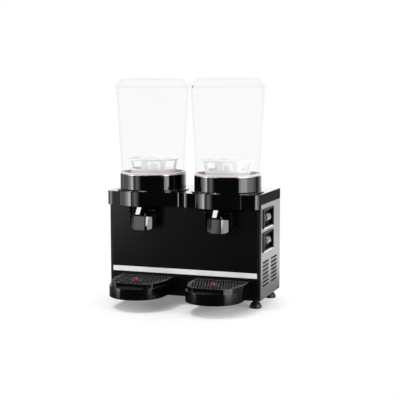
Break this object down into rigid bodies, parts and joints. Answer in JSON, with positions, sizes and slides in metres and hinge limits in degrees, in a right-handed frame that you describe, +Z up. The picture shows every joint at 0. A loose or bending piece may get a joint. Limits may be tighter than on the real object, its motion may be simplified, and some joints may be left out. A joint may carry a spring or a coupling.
{
  "type": "cold drink dispenser",
  "caption": "Countertop cold drink dispenser: clear tapered bowls with lids on collars, push taps, drip trays, stirrers and a cooling unit in a black cabinet.",
  "frame": {"origin": "on the table under the middle of the object's footprint", "axes": "+X to the viewer's right, +Y to the rear, +Z up"},
  "size_m": [0.404, 0.3152, 0.5653],
  "materials": {
    "gloss_black": "high-gloss moulded black plastic",
    "panel_black": "satin black painted sheet",
    "frame_black": "black painted folded frame",
    "side_silver": "silver grey painted sheet",
    "pan_grey": "grey coated sheet",
    "strip_aluminium": "brushed bare strip",
    "steel": "stainless steel",
    "clear_plastic": "clear polycarbonate",
    "seal_rubber": "pale food-grade silicone",
    "agitator_white": "white moulded plastic",
    "foam": "insulating foam",
    "magnet": "ferrite magnet in a carrier",
    "motor_grey": "plated motor can",
    "tray_black": "black moulded tray",
    "grille_black": "black moulded grille",
    "float_red": "red moulded float",
    "valve_white": "white valve plunger",
    "switch_black": "black switch pocket",
    "rocker_red": "red rocker",
    "boot_clear": "clear soft boot",
    "foot_black": "black foot",
    "compressor_black": "black enamelled shell",
    "condenser_metal": "finned coil",
    "fan_black": "moulded fan wheel",
    "copper": "copper pipe",
    "inlet_black": "black inlet socket"
  },
  "bodies": {
    "cabinet": {"base_pan": "pan_grey", "front_post_left": "frame_black", "front_post_right": "frame_black", "frame_rail_top": "frame_black", "frame_rail_bottom": "frame_black", "front_panel": "panel_black", "trim_strip": "strip_aluminium", "side_panel_right": "side_silver", "side_panel_left": "side_silver", "rear_panel": "pan_grey", "top_deck": "gloss_black", "collar_left": "gloss_black", "collar_right": "gloss_black", "insulation_left": "foam", "insulation_right": "foam", "evaporator_left": "steel", "evaporator_right": "steel", "stirrer_motor_left": "motor_grey", "stirrer_motor_right": "motor_grey", "bowl_seal_left": "seal_rubber", "bowl_seal_right": "seal_rubber", "tap_body_left": "gloss_black", "tap_body_right": "gloss_black", "tap_pins_left": "steel", "tap_pins_right": "steel", "tap_spring_left": "steel", "tap_spring_right": "steel", "switch_bezel_upper": "switch_black", "switch_bezel_lower": "switch_black", "switch_boot_upper": "boot_clear", "switch_boot_lower": "boot_clear", "feet": "foot_black", "foot_nuts": "steel", "compressor": "compressor_black", "condenser": "condenser_metal", "fan_motor": "motor_grey", "refrigerant_pipes": "copper", "power_inlet": "inlet_black", "case_screws": "steel"},
    "bowl_left": {"bowl_left": "clear_plastic"},
    "lid_left": {"lid_left": "clear_plastic"},
    "agitator_left": {"agitator_left": "agitator_white"},
    "drive_magnet_left": {"drive_magnet_left": "magnet"},
    "tap_lever_left": {"tap_lever_left": "gloss_black"},
    "tap_plunger_left": {"tap_plunger_left": "valve_white"},
    "drip_tray_left": {"drip_tray_left": "tray_black"},
    "drip_grille_left": {"drip_grille_left": "grille_black"},
    "tray_float_left": {"tray_float_left": "float_red"},
    "bowl_right": {"bowl_right": "clear_plastic"},
    "lid_right": {"lid_right": "clear_plastic"},
    "agitator_right": {"agitator_right": "agitator_white"},
    "drive_magnet_right": {"drive_magnet_right": "magnet"},
    "tap_lever_right": {"tap_lever_right": "gloss_black"},
    "tap_plunger_right": {"tap_plunger_right": "valve_white"},
    "drip_tray_right": {"drip_tray_right": "tray_black"},
    "drip_grille_right": {"drip_grille_right": "grille_black"},
    "tray_float_right": {"tray_float_right": "float_red"},
    "fan_blade": {"fan_blade": "fan_black"},
    "switch_rocker_upper": {"switch_rocker_upper": "rocker_red"},
    "switch_rocker_lower": {"switch_rocker_lower": "rocker_red"}
  },
  "joints": [
    {"name": "bowl_left_lift", "type": "slide", "parent": "cabinet", "child": "bowl_left", "axis": [0, 0, 1], "range_m": [0, 0.3]},
    {"name": "lid_left_lift", "type": "slide", "parent": "bowl_left", "child": "lid_left", "axis": [0, 0, 1], "range_m": [0, 0.1]},
    {"name": "drive_magnet_left_spin", "type": "hinge", "parent": "cabinet", "child": "drive_magnet_left", "pos_m": [-0.1, 0.02565, 0.29], "axis": [0, 0, 1], "continuous": true},
    {"name": "agitator_left_spin", "type": "hinge", "parent": "cabinet", "child": "agitator_left", "pos_m": [-0.1, 0.02565, 0.33], "axis": [0, 0, 1], "continuous": true},
    {"name": "tap_lever_left_push", "type": "hinge", "parent": "cabinet", "child": "tap_lever_left", "pos_m": [-0.1, -0.04535, 0.238], "axis": [1, 0, 0], "range_deg": [0, 12], "stiffness_Nm_per_rad": 0.6, "springref_deg": -11.46},
    {"name": "tap_plunger_left_lift", "type": "slide", "parent": "cabinet", "child": "tap_plunger_left", "axis": [0, 0, 1], "range_m": [0, 0.005], "deforming": ["tap_spring_left"]},
    {"name": "drip_tray_left_pull", "type": "slide", "parent": "cabinet", "child": "drip_tray_left", "axis": [0, -1, 0], "range_m": [0, 0.12]},
    {"name": "drip_grille_left_lift", "type": "slide", "parent": "drip_tray_left", "child": "drip_grille_left", "axis": [0, 0, 1], "range_m": [0, 0.06]},
    {"name": "tray_float_left_rise", "type": "slide", "parent": "drip_tray_left", "child": "tray_float_left", "axis": [0, 0, 1], "range_m": [0, 0.012]},
    {"name": "bowl_right_lift", "type": "slide", "parent": "cabinet", "child": "bowl_right", "axis": [0, 0, 1], "range_m": [0, 0.3]},
    {"name": "lid_right_lift", "type": "slide", "parent": "bowl_right", "child": "lid_right", "axis": [0, 0, 1], "range_m": [0, 0.1]},
    {"name": "drive_magnet_right_spin", "type": "hinge", "parent": "cabinet", "child": "drive_magnet_right", "pos_m": [0.1, 0.02565, 0.29], "axis": [0, 0, 1], "continuous": true},
    {"name": "agitator_right_spin", "type": "hinge", "parent": "cabinet", "child": "agitator_right", "pos_m": [0.1, 0.02565, 0.33], "axis": [0, 0, 1], "continuous": true},
    {"name": "tap_lever_right_push", "type": "hinge", "parent": "cabinet", "child": "tap_lever_right", "pos_m": [0.1, -0.04535, 0.238], "axis": [1, 0, 0], "range_deg": [0, 12], "stiffness_Nm_per_rad": 0.6, "springref_deg": -11.46},
    {"name": "tap_plunger_right_lift", "type": "slide", "parent": "cabinet", "child": "tap_plunger_right", "axis": [0, 0, 1], "range_m": [0, 0.005], "deforming": ["tap_spring_right"]},
    {"name": "drip_tray_right_pull", "type": "slide", "parent": "cabinet", "child": "drip_tray_right", "axis": [0, -1, 0], "range_m": [0, 0.12]},
    {"name": "drip_grille_right_lift", "type": "slide", "parent": "drip_tray_right", "child": "drip_grille_right", "axis": [0, 0, 1], "range_m": [0, 0.06]},
    {"name": "tray_float_right_rise", "type": "slide", "parent": "drip_tray_right", "child": "tray_float_right", "axis": [0, 0, 1], "range_m": [0, 0.012]},
    {"name": "fan_spin", "type": "hinge", "parent": "cabinet", "child": "fan_blade", "pos_m": [0.164, 0.06265, 0.085], "axis": [1, 0, 0], "continuous": true},
    {"name": "switch_rocker_upper_tilt", "type": "hinge", "parent": "cabinet", "child": "switch_rocker_upper", "pos_m": [0.1877, 0.04715, 0.2205], "axis": [0, 1, 0], "range_deg": [0, 16]},
    {"name": "switch_rocker_lower_tilt", "type": "hinge", "parent": "cabinet", "child": "switch_rocker_lower", "pos_m": [0.1877, 0.04715, 0.1625], "axis": [0, 1, 0], "range_deg": [0, 16]}
  ],
  "couplings": [
    {"joint": "agitator_left_spin", "follows": "drive_magnet_left_spin", "ratio": 1},
    {"joint": "tap_plunger_left_lift", "follows": "tap_lever_left_push", "m_per_rad": 0.0238},
    {"joint": "agitator_right_spin", "follows": "drive_magnet_right_spin", "ratio": 1},
    {"joint": "tap_plunger_right_lift", "follows": "tap_lever_right_push", "m_per_rad": 0.0238}
  ]
}
